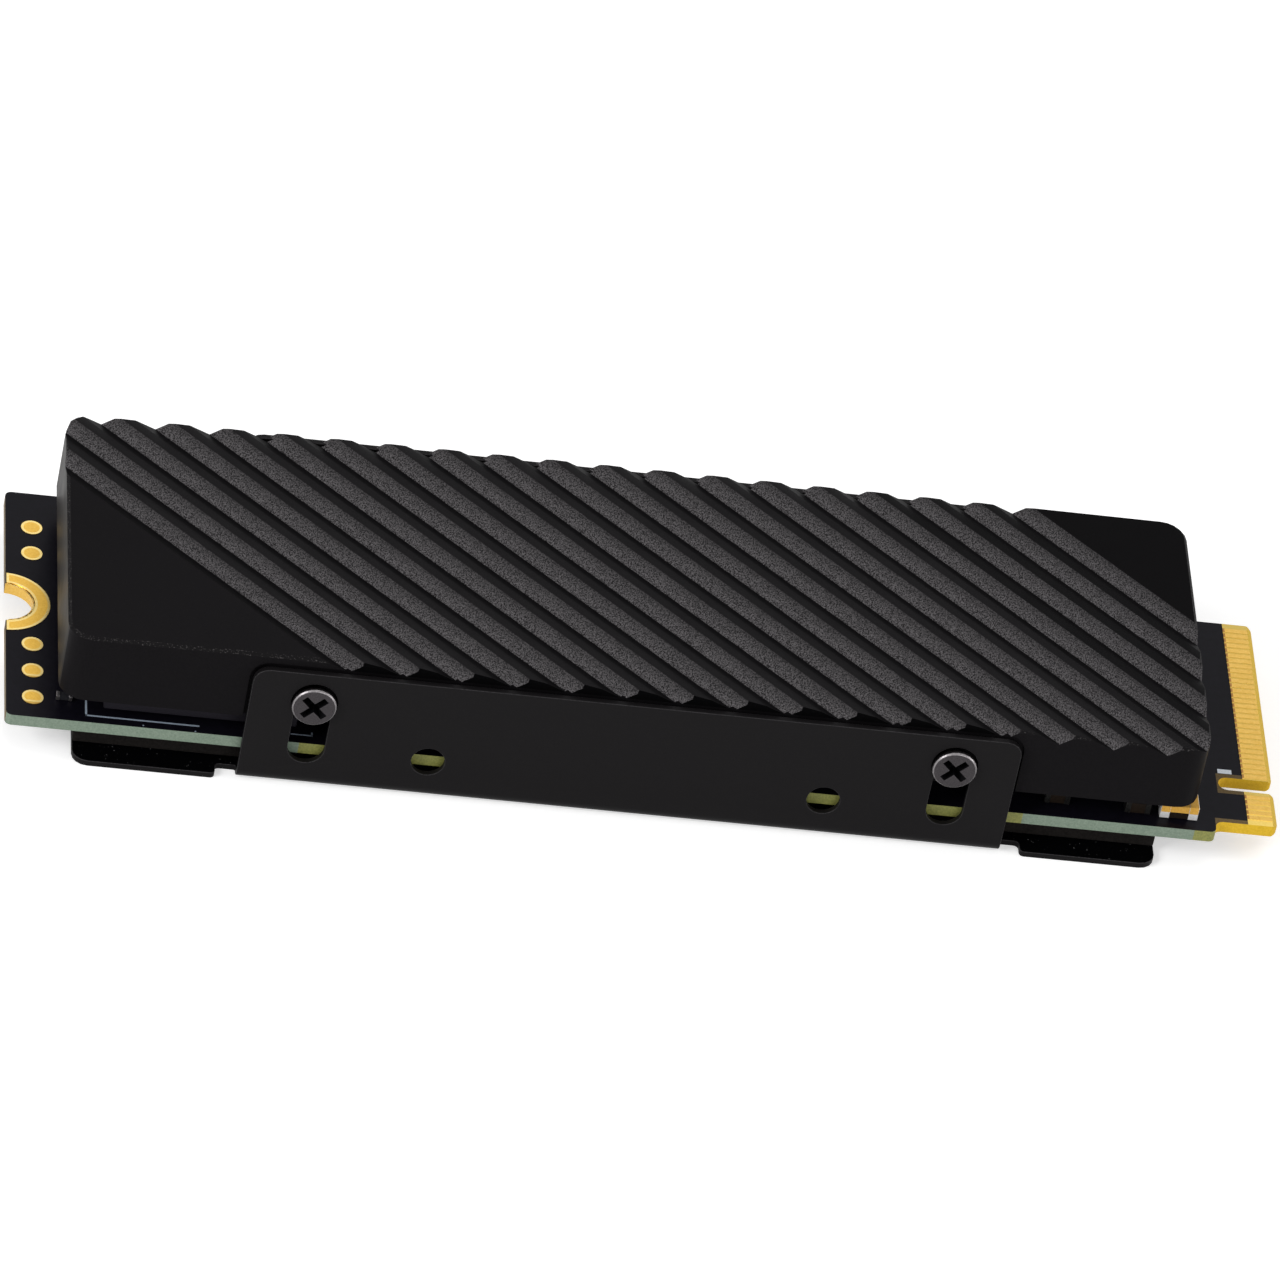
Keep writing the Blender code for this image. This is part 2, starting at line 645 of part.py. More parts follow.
def grooved_block():
    """The heatsink with a flat top: a rounded block with a broken rim and every groove."""
    corners = [
        (SINK_LEFT, -SINK_SIDE, SINK_CORNER),
        (SINK_RIGHT, -SINK_SIDE, SINK_CORNER),
        (SINK_RIGHT, SINK_SIDE, SINK_CORNER),
        (SINK_LEFT, SINK_SIDE, SINK_CORNER),
    ]
    height = FLOOR_HEIGHT + RIB_HEIGHT + PLAIN_RISE
    bm = extruded("block", [filleted(corners, 5)], height)
    bmesh.ops.translate(bm, verts=bm.verts, vec=(0, 0, SINK_BOTTOM + height / 2))
    rim = [edge for edge in bm.edges if edge.calc_face_angle(0.0) > 1.0 and edge_low(edge) > GROOVE_FLOOR]
    bmesh.ops.bevel(bm, geom=rim, offset=SINK_EDGE, segments=1, affect="EDGES")
    block = add_object("block", mesh_from("block", bm), cutters)
    boolean(block, make_grooves(), "DIFFERENCE")
    return applied(block)


def crowned_block():
    """The grooved block with its whole top curved along the ribs."""
    bm = bmesh.new()
    bm.from_mesh(grooved_block())
    direction = Vector((math.cos(RIB_ANGLE), -math.sin(RIB_ANGLE), 0))
    middle = Vector((SINK_CENTRE, 0, 0))
    reach = max(along_ribs(vertex.co) for vertex in bm.verts)
    facets = math.ceil(reach / CROWN_FACET)
    for facet in range(-facets, facets + 1):
        split_at(bm, middle + direction * (facet + 0.5) * CROWN_FACET, direction)
    for vertex in bm.verts:
        if vertex.co.z > GROOVE_FLOOR - SEAT:
            vertex.co.z -= crown_drop(along_ribs(vertex.co))
    return mesh_from("heatsink", bm)


def make_pockets():
    """A shallow recess in each side of the heatsink, which the bracket's flap stands in."""
    left, right = FLAP_LEFT - POCKET_MARGIN, FLAP_RIGHT + POCKET_MARGIN
    top = FLAP_TOP + POCKET_MARGIN
    radius = FLAP_CORNER + POCKET_MARGIN
    outline = filleted([(left, 0, 0), (right, 0, 0), (right, top, radius), (left, top, radius)], 5)
    bm = bmesh.new()
    for side in (-1, 1):
        mesh = mesh_from("pocket", extruded("pocket", [outline], SHEET + FLAP_CLEARANCE))
        out = Vector((0, side * (FAR_SIDE + BRACKET_SIDE) / 2, 0))
        mesh.transform(Matrix.Translation(out) @ Matrix.Rotation(math.pi / 2, 4, "X"))
        bm.from_mesh(mesh)
        bpy.data.meshes.remove(mesh)
    return add_object("pockets", mesh_from("pockets", bm), cutters)


def make_heatsink():
    sink = add_object("heatsink", crowned_block(), drive)
    boolean(sink, make_pockets(), "DIFFERENCE")
    bm = bmesh.new()
    mouth = BRACKET_SIDE
    bottom = BRACKET_SIDE - SHANK_LENGTH - HOLE_PAST_TIP
    for x in SCREW_PLACES:
        for side in (-1, 1):
            centre = (x, side * (mouth + bottom) / 2, SCREW_HEIGHT)
            turn = Matrix.Rotation(math.pi / 2, 4, "X")
            add_cylinder(bm, centre, SHANK_RADIUS + HOLE_CLEARANCE, mouth - bottom, turn)
    holes = add_object("screw_holes", mesh_from("screw_holes", bm), cutters)
    boolean(sink, holes, "DIFFERENCE")
    shade_round(sink, math.radians(20))
    return finish(sink, new_material("black_anodised", (0.03, 0.03, 0.032), 0.45, 0.6))


def flat_height(height):
    """Distance from the bracket's middle line, on the flat sheet, of a point that high on a flap."""
    return BEND_LINE + BEND_ARC + height - SHEET - BEND_RADIUS


def bracket_outline():
    """The flat sheet before folding: base, corner tongues, relief notches and both flaps."""
    relief_left = FLAP_LEFT - RELIEF_WIDTH
    relief_right = FLAP_RIGHT + RELIEF_WIDTH
    notch = BEND_LINE - RELIEF_PAST_BEND
    top = flat_height(FLAP_TOP)
    side = [
        (BRACKET_LEFT, -BRACKET_SIDE, BRACKET_CORNER),
        (relief_left, -BRACKET_SIDE, RELIEF_CORNER),
        (relief_left, -notch, RELIEF_CORNER),
        (FLAP_LEFT, -notch, RELIEF_CORNER / 3),
        (FLAP_LEFT, -top, FLAP_CORNER),
        (FLAP_RIGHT, -top, FLAP_CORNER),
        (FLAP_RIGHT, -notch, RELIEF_CORNER / 3),
        (relief_right, -notch, RELIEF_CORNER),
        (relief_right, -BRACKET_SIDE, RELIEF_CORNER),
        (BRACKET_RIGHT, -BRACKET_SIDE, BRACKET_CORNER),
    ]
    other = [(x, -y, radius) for x, y, radius in reversed(side)]
    return filleted(side + other)


def keyhole_outline(x, side):
    """A round hole that opens downwards into a slot with a round bottom."""
    round_place = flat_height(KEYHOLE_HEIGHT)
    slot_place = flat_height(SLOT_BOTTOM + SLOT_RADIUS)
    lean = math.degrees(math.asin(SLOT_RADIUS / KEYHOLE_RADIUS))
    upper = arc((x, round_place), KEYHOLE_RADIUS, -90 + lean, 270 - lean, ROUND_STEPS)
    lower = arc((x, slot_place), SLOT_RADIUS, 180, 360, ROUND_STEPS // 2)
    return [(px, side * py) for px, py in upper + lower]


def fold(bm):
    """Bends the flaps up: the sheet past each bend line wraps round the bend and then stands."""
    for side in (-1, 1):
        for step in range(BEND_STEPS + 1):
            split_at(bm, (0, side * (BEND_LINE + BEND_ARC * step / BEND_STEPS), 0), (0, side, 0))
    for vertex in bm.verts:
        x, y, z = vertex.co
        past = abs(y) - BEND_LINE
        on_flap = FLAP_LEFT - RELIEF_WIDTH / 2 < x < FLAP_RIGHT + RELIEF_WIDTH / 2
        if past <= 0 or not on_flap:
            continue
        angle = min(past / BEND_ARC, 1.0) * math.pi / 2
        reach = SHEET + BEND_RADIUS - z
        rise = max(0.0, past - BEND_ARC)
        out = BEND_LINE + reach * math.sin(angle)
        vertex.co = (x, math.copysign(out, y), SHEET + BEND_RADIUS - reach * math.cos(angle) + rise)


def make_bracket():
    loops = [bracket_outline()]
    for side in (-1, 1):
        for x in SCREW_PLACES:
            loops.append(keyhole_outline(x, side))
        for x in ROUND_HOLE_PLACES:
            centre = (x, side * flat_height(ROUND_HOLE_HEIGHT))
            loops.append(arc(centre, ROUND_HOLE_RADIUS, 0, 345, ROUND_STEPS - 1))
    bm = extruded("bracket", loops, SHEET)
    bmesh.ops.translate(bm, verts=bm.verts, vec=(0, 0, SHEET / 2))
    fold(bm)
    bracket = add_object("bracket", mesh_from("bracket", bm), drive)
    shade_round(bracket)
    return finish(bracket, new_material("black_steel", (0.03, 0.03, 0.032), 0.5, 0.5))


def screw_mesh():
    """A screw with its axis on Z: the head's underside at Z = 0 and the shank below it."""
    profile = [
        (0, HEAD_THICKNESS),
        (HEAD_RADIUS - HEAD_CHAMFER, HEAD_THICKNESS),
        (HEAD_RADIUS, HEAD_THICKNESS - HEAD_CHAMFER),
        (HEAD_RADIUS, 0),
        (SHANK_RADIUS, 0),
        (SHANK_RADIUS, TIP_CHAMFER - SHANK_LENGTH),
        (SHANK_RADIUS - TIP_CHAMFER, -SHANK_LENGTH),
        (0, -SHANK_LENGTH),
    ]
    mesh = bpy.data.meshes.new("screw")
    edges = [(index, index + 1) for index in range(len(profile) - 1)]
    mesh.from_pydata([(radius, 0, z) for radius, z in profile], edges, [])
    screw = add_object("screw", mesh, cutters)
    turn = screw.modifiers.new("turn", "SCREW")
    turn.axis = "Z"
    turn.steps = ROUND_STEPS
    turn.render_steps = ROUND_STEPS
    turn.use_merge_vertices = True
    turn.merge_threshold = 0.001 * MM
    boolean(screw, make_recess(), "DIFFERENCE")
    finished = applied(screw)
    finished.name = "screw"
    return finished


def make_recess():
    """A cross whose four wings narrow towards its bottom."""
    recess = None
    for turn in (45, 135):
        bm = bmesh.new()
        half_span, half_blade = RECESS_SPAN / 2, RECESS_BLADE / 2
        mouth = HEAD_THICKNESS + HEAD_CHAMFER
        floor = HEAD_THICKNESS - RECESS_DEPTH
        verts = add_box(bm, (-half_span, -half_blade, floor), (half_span, half_blade, mouth))
        for vertex in verts:
            if vertex.co.z < 0:
                vertex.co.x *= RECESS_TAPER
                vertex.co.y *= RECESS_TAPER
        bm.transform(Matrix.Rotation(math.radians(turn), 4, "Z"))
        wing = add_object("recess", mesh_from("recess", bm), cutters)
        if recess:
            boolean(recess, wing, "UNION")
        recess = recess or wing
    return recess


def make_screws():
    mesh = screw_mesh()
    mesh.shade_smooth()
    mesh.set_sharp_from_angle(angle=math.radians(35))
    material = new_material("black_oxide", (0.12, 0.12, 0.12), 0.35, 1.0)
    head_seat = BRACKET_SIDE + SEAT
    for end, x in zip(("left", "right"), SCREW_PLACES):
        for name, side in (("near", -1), ("far", 1)):
            screw = add_object(f"screw_{name}_{end}", mesh, drive)
            screw.location = (x, side * head_seat, SCREW_HEIGHT)
            screw.rotation_euler = (-side * math.pi / 2, 0, 0)
            finish(screw, material)


make_bracket()
make_board()
make_packages()
make_inductors()
make_small_parts()
make_thermal_pads()
make_heatsink()
make_screws()
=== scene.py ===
import bmesh
import bpy
import math
from mathutils import Matrix, Vector


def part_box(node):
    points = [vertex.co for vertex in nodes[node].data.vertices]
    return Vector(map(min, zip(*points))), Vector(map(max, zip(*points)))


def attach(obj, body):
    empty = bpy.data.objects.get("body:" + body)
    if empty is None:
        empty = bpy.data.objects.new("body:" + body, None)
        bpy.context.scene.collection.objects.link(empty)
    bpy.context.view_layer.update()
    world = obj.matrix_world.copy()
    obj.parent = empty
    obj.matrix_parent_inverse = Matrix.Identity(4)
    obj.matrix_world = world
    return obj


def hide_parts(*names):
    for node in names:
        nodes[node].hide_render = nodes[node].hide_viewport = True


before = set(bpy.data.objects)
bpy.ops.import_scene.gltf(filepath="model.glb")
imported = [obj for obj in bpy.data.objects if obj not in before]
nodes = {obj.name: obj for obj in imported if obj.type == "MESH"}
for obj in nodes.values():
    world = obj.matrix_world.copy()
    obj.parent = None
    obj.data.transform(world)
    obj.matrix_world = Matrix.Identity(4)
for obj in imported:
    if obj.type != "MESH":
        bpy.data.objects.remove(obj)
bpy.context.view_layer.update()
mm = 0.001


# Camera: the photograph's own viewpoint, in the part's frame
view = {
    "location": (-0.0993, -0.5585, 0.4520),
    "right": (0.9857, -0.0447, 0.1624),
    "up": (-0.0979, 0.6325, 0.7683),
    "lens": 324.8,
    "sensor": 36.0,
    "clip": (0.05, 20.0),
}


def makeCamera():
    data = bpy.data.cameras.new("camera")
    data.lens = view["lens"]
    data.sensor_width = view["sensor"]
    data.sensor_fit = "HORIZONTAL"
    data.clip_start, data.clip_end = view["clip"]
    camera = bpy.data.objects.new("camera", data)
    bpy.context.scene.collection.objects.link(camera)
    right = Vector(view["right"]).normalized()
    back = right.cross(Vector(view["up"])).normalized()
    up = back.cross(right)
    turn = Matrix((right, up, back)).transposed().to_4x4()
    camera.matrix_world = Matrix.Translation(view["location"]) @ turn
    bpy.context.scene.camera = camera


makeCamera()
print("camera ready")


# Studio: a white floor that keeps a soft shadow, a white surround and four soft lamps
studio = {
    "white": (1.0, 1.0, 1.0, 1.0),
    "floorSize": 6.0,
    "floorColour": 0.80,
    "floorRoughness": 0.9,
    "floorGlow": 0.45,
    "surroundOnObject": 0.40,
    "surroundSeen": 1.0,
    "lampsAimAt": (0, 0, 0.005),
    "lamps": [
        # name, place, size, watts
        ("keyLamp", (-0.80, -0.45, 0.55), 0.45, 7.0),
        ("topLamp", (0.10, 0.25, 1.20), 0.80, 3.0),
        ("frontLamp", (0.35, -1.00, 0.35), 0.50, 2.5),
        ("rightLamp", (0.95, -0.25, 0.28), 0.40, 2.5),
    ],
}


def seenDirectly(tree):
    # 1 for camera, glossy and transmission rays, which all see the white background
    path = tree.nodes.new("ShaderNodeLightPath")
    total = path.outputs["Is Camera Ray"]
    for ray in ("Is Glossy Ray", "Is Transmission Ray"):
        add = tree.nodes.new("ShaderNodeMath")
        add.operation = "ADD"
        add.use_clamp = True
        tree.links.new(total, add.inputs[0])
        tree.links.new(path.outputs[ray], add.inputs[1])
        total = add.outputs[0]
    return total


def glowing(tree, kind, strength):
    node = tree.nodes.new(kind)
    node.inputs["Color"].default_value = studio["white"]
    node.inputs["Strength"].default_value = strength
    return node.outputs[0]


def seenOrNot(tree, output, unseen, seen):
    mix = tree.nodes.new("ShaderNodeMixShader")
    tree.links.new(seenDirectly(tree), mix.inputs["Fac"])
    tree.links.new(unseen, mix.inputs[1])
    tree.links.new(seen, mix.inputs[2])
    tree.links.new(mix.outputs[0], output.inputs["Surface"])


def makeSurround():
    world = bpy.data.worlds.new("surround")
    bpy.context.scene.world = world
    world.use_nodes = True
    tree = world.node_tree
    tree.nodes.clear()
    output = tree.nodes.new("ShaderNodeOutputWorld")
    plain = glowing(tree, "ShaderNodeBackground", studio["surroundOnObject"])
    seen = glowing(tree, "ShaderNodeBackground", studio["surroundSeen"])
    seenOrNot(tree, output, plain, seen)


def makeFloor():
    bm = bmesh.new()
    bmesh.ops.create_grid(bm, x_segments=1, y_segments=1, size=studio["floorSize"] / 2)
    floor = addObject("floor", bm)
    floorPaint = bpy.data.materials.new("floorPaint")
    floorPaint.use_nodes = True
    tree = floorPaint.node_tree
    shader = tree.nodes["Principled BSDF"]
    shader.inputs["Base Color"].default_value = (studio["floorColour"],) * 3 + (1.0,)
    shader.inputs["Roughness"].default_value = studio["floorRoughness"]
    add = tree.nodes.new("ShaderNodeAddShader")
    tree.links.new(shader.outputs[0], add.inputs[0])
    tree.links.new(glowing(tree, "ShaderNodeEmission", studio["floorGlow"]), add.inputs[1])
    seenOrNot(tree, tree.nodes["Material Output"], shader.outputs[0], add.outputs[0])
    floor.data.materials.append(floorPaint)


def makeLamps():
    for name, place, size, watts in studio["lamps"]:
        lamp = bpy.data.lights.new(name, "AREA")
        lamp.shape = "SQUARE"
        lamp.size = size
        lamp.energy = watts
        holder = bpy.data.objects.new(name, lamp)
        bpy.context.scene.collection.objects.link(holder)
        aim = Vector(studio["lampsAimAt"]) - Vector(place)
        turn = aim.to_track_quat("-Z", "Y").to_matrix().to_4x4()
        holder.matrix_world = Matrix.Translation(place) @ turn


def addObject(name, bm):
    # The normals that came with the solid's mesh no longer fit a cut or merged one
    mesh = bpy.data.meshes.new(name)
    bm.to_mesh(mesh)
    bm.free()
    if "custom_normal" in mesh.attributes:
        mesh.attributes.remove(mesh.attributes["custom_normal"])
    thing = bpy.data.objects.new(name, mesh)
    bpy.context.scene.collection.objects.link(thing)
    return thing


makeSurround()
makeFloor()
makeLamps()
print("studio ready")


# Shared making steps
making = {
    "mergeWithin": 0.0005 * mm,
    "flatWithin": math.radians(0.6),
    "cutWithin": 0.0002 * mm,
    "sharpFrom": math.radians(30),
    "edgeSegments": 2,
    # how much of a unit normal points along an axis, for a face square to it and one leaning to it
    "square": 0.9,
    "leaning": 0.5,
}


def mergedCopy(node):
    bm = bmesh.new()
    bm.from_mesh(nodes[node].data)
    bmesh.ops.remove_doubles(bm, verts=bm.verts, dist=making["mergeWithin"])
    bmesh.ops.dissolve_limit(bm, angle_limit=making["flatWithin"], verts=bm.verts, edges=bm.edges)
    return bm


def cutAlong(bm, place, normal):
    everything = bm.verts[:] + bm.edges[:] + bm.faces[:]
    bmesh.ops.bisect_plane(bm, geom=everything, plane_co=place, plane_no=normal,
                           dist=making["cutWithin"])


def isSquare(face):
    return face.normal.z > making["square"]


def isUpright(face):
    return abs(face.normal.z) < making["leaning"]


def dress(piece, names):
    for name in names:
        piece.data.materials.append(paints[name])


def standsFor(piece, node):
    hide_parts(node)
    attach(piece, "root")


def smoothSides(piece):
    piece.data.shade_smooth()
    piece.data.set_sharp_from_angle(angle=making["sharpFrom"])


def roundEdges(piece, width):
    bevel = piece.modifiers.new("edges", "BEVEL")
    bevel.width = width
    bevel.segments = making["edgeSegments"]
    bevel.limit_method = "ANGLE"
    bevel.angle_limit = making["sharpFrom"]
    bevel.use_clamp_overlap = True
    smoothSides(piece)


# Materials: every one takes its grain from Object coordinates
def newMaterial(name, colour, roughness, metallic=0.0, specular=0.5):
    material = bpy.data.materials.new(name)
    material.use_nodes = True
    shader = material.node_tree.nodes["Principled BSDF"]
    shader.inputs["Base Color"].default_value = (*colour, 1.0)
    shader.inputs["Roughness"].default_value = roughness
    shader.inputs["Metallic"].default_value = metallic
    shader.inputs["Specular IOR Level"].default_value = specular
    return material, material.node_tree, shader


def objectPlace(tree):
    return tree.nodes.new("ShaderNodeTexCoord").outputs["Object"]


def grain(tree, place, size, detail=3.0, roughness=0.6):
    noise = tree.nodes.new("ShaderNodeTexNoise")
    noise.inputs["Scale"].default_value = 1.0 / size
    noise.inputs["Detail"].default_value = detail
    noise.inputs["Roughness"].default_value = roughness
    tree.links.new(place, noise.inputs["Vector"])
    return noise.outputs["Fac"]


def ramp(tree, value, stops):
    node = tree.nodes.new("ShaderNodeValToRGB")
    for element, (place, colour) in zip(node.color_ramp.elements, stops):
        element.position = place
        element.color = (*colour, 1.0)
    tree.links.new(value, node.inputs["Fac"])
    return node.outputs["Color"]


def spread(tree, value, low, high, fromLow=0.3, fromHigh=0.7):
    node = tree.nodes.new("ShaderNodeMapRange")
    node.inputs["From Min"].default_value = fromLow
    node.inputs["From Max"].default_value = fromHigh
    node.inputs["To Min"].default_value = low
    node.inputs["To Max"].default_value = high
    tree.links.new(value, node.inputs["Value"])
    return node.outputs["Result"]


def bump(tree, shader, height, distance, strength):
    node = tree.nodes.new("ShaderNodeBump")
    node.inputs["Strength"].default_value = strength
    node.inputs["Distance"].default_value = distance
    tree.links.new(height, node.inputs["Height"])
    tree.links.new(node.outputs["Normal"], shader.inputs["Normal"])


# what the grained materials share
grainLook = {"colourFrom": (0.3, 0.7), "broadBy": 30, "strength": 0.3}


def grained(name, dark, light, roughness, size, depth, metallic=0.0, specular=0.5):
    # A fine grain in colour and height, and a broad one in roughness, both with sizes in mm
    material, tree, shader = newMaterial(name, dark, roughness[0], metallic, specular)
    place = objectPlace(tree)
    fine = grain(tree, place, size * mm)
    broad = grain(tree, place, size * mm * grainLook["broadBy"])
    stops = zip(grainLook["colourFrom"], (dark, light))
    tree.links.new(ramp(tree, fine, stops), shader.inputs["Base Color"])
    tree.links.new(spread(tree, broad, *roughness), shader.inputs["Roughness"])
    bump(tree, shader, fine, depth * mm, grainLook["strength"])
    return material


def speckled(name, ground, speck, size, share, roughness=0.45, specular=0.018, fade=0.08):
    # A plain ground with a few bright specks
    material, tree, shader = newMaterial(name, ground, roughness, specular=specular)
    specks = grain(tree, objectPlace(tree), size * mm, detail=1.0)
    stops = [(share, ground), (share + fade, speck)]
    tree.links.new(ramp(tree, specks, stops), shader.inputs["Base Color"])
    return material


# dark colour, light colour, roughness, grain and its depth in mm, then what isn't as usual
grainedPaints = {
    # anodised heatsink
    "satinAnodised": ((0.0058, 0.0053, 0.0059), (0.0080, 0.0073, 0.0081), (0.42, 0.5),
                      0.10, 0.004, {"specular": 0.018}),
    # painted shadow: near black for the side strip over each flap
    "paintedShadowAnodised": ((0.0006, 0.0006, 0.0007), (0.0016, 0.0015, 0.0017), (0.5, 0.6),
                       0.10, 0.004, {"specular": 0.01}),
    # painted light: a warmer, lighter copy for the left end wall, which faces the lamp
    "paintedLightEndAnodised": ((0.0150, 0.0136, 0.0126), (0.0220, 0.0200, 0.0186), (0.42, 0.5),
                    0.10, 0.004, {"specular": 0.05}),
    # painted shade: darker copy for the ribs' back slopes and the plateau's far right corner
    "paintedShadeAnodised": ((0.0020, 0.0018, 0.0021), (0.0032, 0.0029, 0.0033), (0.45, 0.52),
                     0.10, 0.004, {"specular": 0.018}),
    # bracket
    "blackenedSheet": ((0.0055, 0.0050, 0.0054), (0.0080, 0.0072, 0.0078), (0.38, 0.46),
                       0.08, 0.003, {"specular": 0.06}),
    # painted highlight for the bracket's broken edges
    "paintedHighlightEdge": ((0.006, 0.0055, 0.006), (0.036, 0.034, 0.036), (0.4, 0.5),
                   0.09, 0.004, {"specular": 0.10}),
    # board
    "solderMask": ((0.0030, 0.0026, 0.0048), (0.0048, 0.0042, 0.0075), (0.26, 0.36),
                   0.4, 0.002, {"specular": 0.07}),
    "mintLaminate": ((0.115, 0.165, 0.12), (0.195, 0.25, 0.19), (0.5, 0.65), 0.12, 0.01, {}),
    "oliveLaminate": ((0.14, 0.15, 0.032), (0.25, 0.25, 0.06), (0.5, 0.65), 0.12, 0.01, {}),
    "goldenLaminate": ((0.58, 0.36, 0.016), (0.72, 0.46, 0.032), (0.45, 0.6),
                       0.12, 0.01, {"specular": 0.12}),
    "tanLaminate": ((0.085, 0.055, 0.020), (0.15, 0.10, 0.038), (0.5, 0.65),
                    0.12, 0.006, {"specular": 0.2}),
    "contactFloor": ((0.64, 0.42, 0.040), (0.74, 0.49, 0.065), (0.4, 0.5),
                     0.12, 0.003, {"specular": 0.12}),
    # painted light: the contacts' sides and the gaps between them, lighter than the gold
    "paintedLightContactGap": ((0.88, 0.63, 0.13), (0.97, 0.71, 0.19), (0.4, 0.5),
                   0.12, 0.003, {"specular": 0.15}),
    "platedGold": ((0.66, 0.40, 0.075), (0.78, 0.50, 0.13), (0.22, 0.36),
                   0.15, 0.002, {"metallic": 1.0}),
    "orangeGold": ((0.88, 0.50, 0.055), (1.0, 0.62, 0.095), (0.26, 0.38),
                   0.12, 0.002, {"metallic": 0.5}),
    "brownGold": ((0.34, 0.15, 0.03), (0.46, 0.22, 0.05), (0.4, 0.5),
                  0.12, 0.002, {"metallic": 0.6}),
    "brightGold": ((0.98, 0.70, 0.22), (1.0, 0.80, 0.34), (0.22, 0.34),
                   0.15, 0.002, {"metallic": 1.0}),
    "markWhite": ((0.62, 0.68, 0.74), (0.80, 0.84, 0.88), (0.5, 0.6),
                  0.10, 0.003, {"specular": 0.2}),
    "markingInk": ((0.22, 0.27, 0.34), (0.36, 0.42, 0.50), (0.5, 0.6),
                   0.10, 0.003, {"specular": 0.1}),
    # packages and pads
    "blackMould": ((0.010, 0.009, 0.012), (0.020, 0.018, 0.024), (0.5, 0.62),
                   0.06, 0.006, {"specular": 0.1}),
    "nickelLid": ((0.50, 0.49, 0.47), (0.62, 0.61, 0.58), (0.24, 0.38),
                  0.3, 0.002, {"metallic": 1.0}),
    "ferrite": ((0.06, 0.06, 0.063), (0.13, 0.13, 0.135), (0.5, 0.65), 0.08, 0.01, {}),
    # painted shade: the pads' grey silicone darkened to near black under the board
    "shadedSilicone": ((0.008, 0.007, 0.0065), (0.016, 0.014, 0.013), (0.7, 0.85),
                        0.15, 0.02, {"specular": 0.05}),
    # small parts
    "tanMould": ((0.64, 0.33, 0.045), (0.78, 0.45, 0.085), (0.4, 0.55),
                 0.12, 0.006, {"specular": 0.2}),
    "tinEnds": ((0.74, 0.73, 0.72), (0.88, 0.87, 0.86), (0.25, 0.42),
                0.1, 0.003, {"metallic": 0.3}),
    # painted shade: tin ends darkened to near black under the heatsink
    "paintedShadeTin": ((0.006, 0.006, 0.006), (0.030, 0.029, 0.028), (0.35, 0.5),
                0.1, 0.005, {"metallic": 0.6, "specular": 0.1}),
    # brown ceramic darkened to near black as painted shade; also used for the moulded capacitor's
    # lower middle
    "shadedBrownCeramic": ((0.009, 0.006, 0.0045), (0.018, 0.012, 0.008), (0.35, 0.5),
                     0.1, 0.003, {"specular": 0.08}),
    "resistorFilm": ((0.010, 0.010, 0.012), (0.020, 0.020, 0.023), (0.3, 0.45),
                     0.08, 0.003, {"specular": 0.1}),
    # screws
    "blackOxide": ((0.030, 0.027, 0.029), (0.064, 0.059, 0.062), (0.35, 0.5),
                   0.07, 0.006, {"metallic": 1.0}),
    # painted highlight on the screws' rims; also the grey tin ends of the part beside the heatsink
    "rimHighlightAndGreyTin": ((0.15, 0.14, 0.145), (0.28, 0.265, 0.27), (0.3, 0.4),
                  0.07, 0.004, {"metallic": 1.0}),
    # painted shade in the screws' cross recesses
    "paintedShadeRecess": ((0.0012, 0.0011, 0.0014), (0.003, 0.0028, 0.0034), (0.5, 0.6),
                   0.07, 0.003, {"specular": 0.03}),
}
paints = {name: grained(name, *row, **unusual) for name, (*row, unusual) in grainedPaints.items()}
# painted highlight: bright specks along the plateau's rounded rim
paints["speckledRimHighlight"] = speckled("speckledRimHighlight", (0.0080, 0.0075, 0.0080), (0.060, 0.056, 0.056),
                                 0.09, 0.60)
# painted shadow on the bracket base's top, with bright specks, partly dust and partly painted
# glint
paints["paintedShadowSheet"] = speckled("paintedShadowSheet", (0.0010, 0.0010, 0.0013), (0.12, 0.12, 0.12),
                                 0.16, 0.73, 0.35)
print("materials ready")


# Heatsink: smooth tops and corners, and blasted walls on the ribs' near left side with painted
# light on them; painted shade on the back slopes and far corner, painted shadow above the flaps,
# painted light on the left end and a painted highlight on the plateau rim
sinkLook = {
    "paints": ("satinAnodised", "blastedAndLitAnodised", "paintedShadowAnodised", "speckledRimHighlight", "paintedLightEndAnodised",
               "paintedShadeAnodised"),
    "edge": 0.04 * mm,
    # across the ribs, from the near left to the far right
    "across": (0.7157, 0.6984, 0.0),
    "firstGroove": -21.88 * mm,
    "pitch": 2.448 * mm,
    "ribFront": 0.72 * mm,
    # lowest points of the faces of the ribs, and of those of the plain corners above them
    "ribsFrom": 8.5 * mm,
    "plainFrom": 9.3 * mm,
    "wallFacing": 0.6,
    "backFacing": 0.1,
    # beyond this corner the plateau is darkened as painted shade
    "farCorner": (20.0 * mm, 0.0),
    # side strip above a flap, painted as shadow: its ends, how far out it lies and its lowest
    # middle
    "flap": (-25.6 * mm, 22.8 * mm),
    "side": 10.9 * mm,
    "stripFrom": 8.9 * mm,
    "blasted": {"ground": (0.05, 0.05, 0.05), "roughness": 0.6, "specular": 0.08},
    "speck": 0.080 * mm,
    "speckDepth": 0.03 * mm,
    "speckStrength": 0.6,
    "speckRange": (-0.10, 0.78, 0.36, 0.64),
    # the light end of these speck colours is painted light on the lamp-facing walls
    "specks": [(0.0, (0.006, 0.0055, 0.006)), (1.0, (0.150, 0.141, 0.146))],
    # painted shade: the walls' colour fades from the bottom to the crest
    "bottomToCrest": (1.20, 0.42),
}


def combined(tree, operation, first, second):
    node = tree.nodes.new("ShaderNodeMath")
    node.operation = operation
    tree.links.new(first, node.inputs[0])
    if isinstance(second, float):
        node.inputs[1].default_value = second
    else:
        tree.links.new(second, node.inputs[1])
    return node.outputs[0]


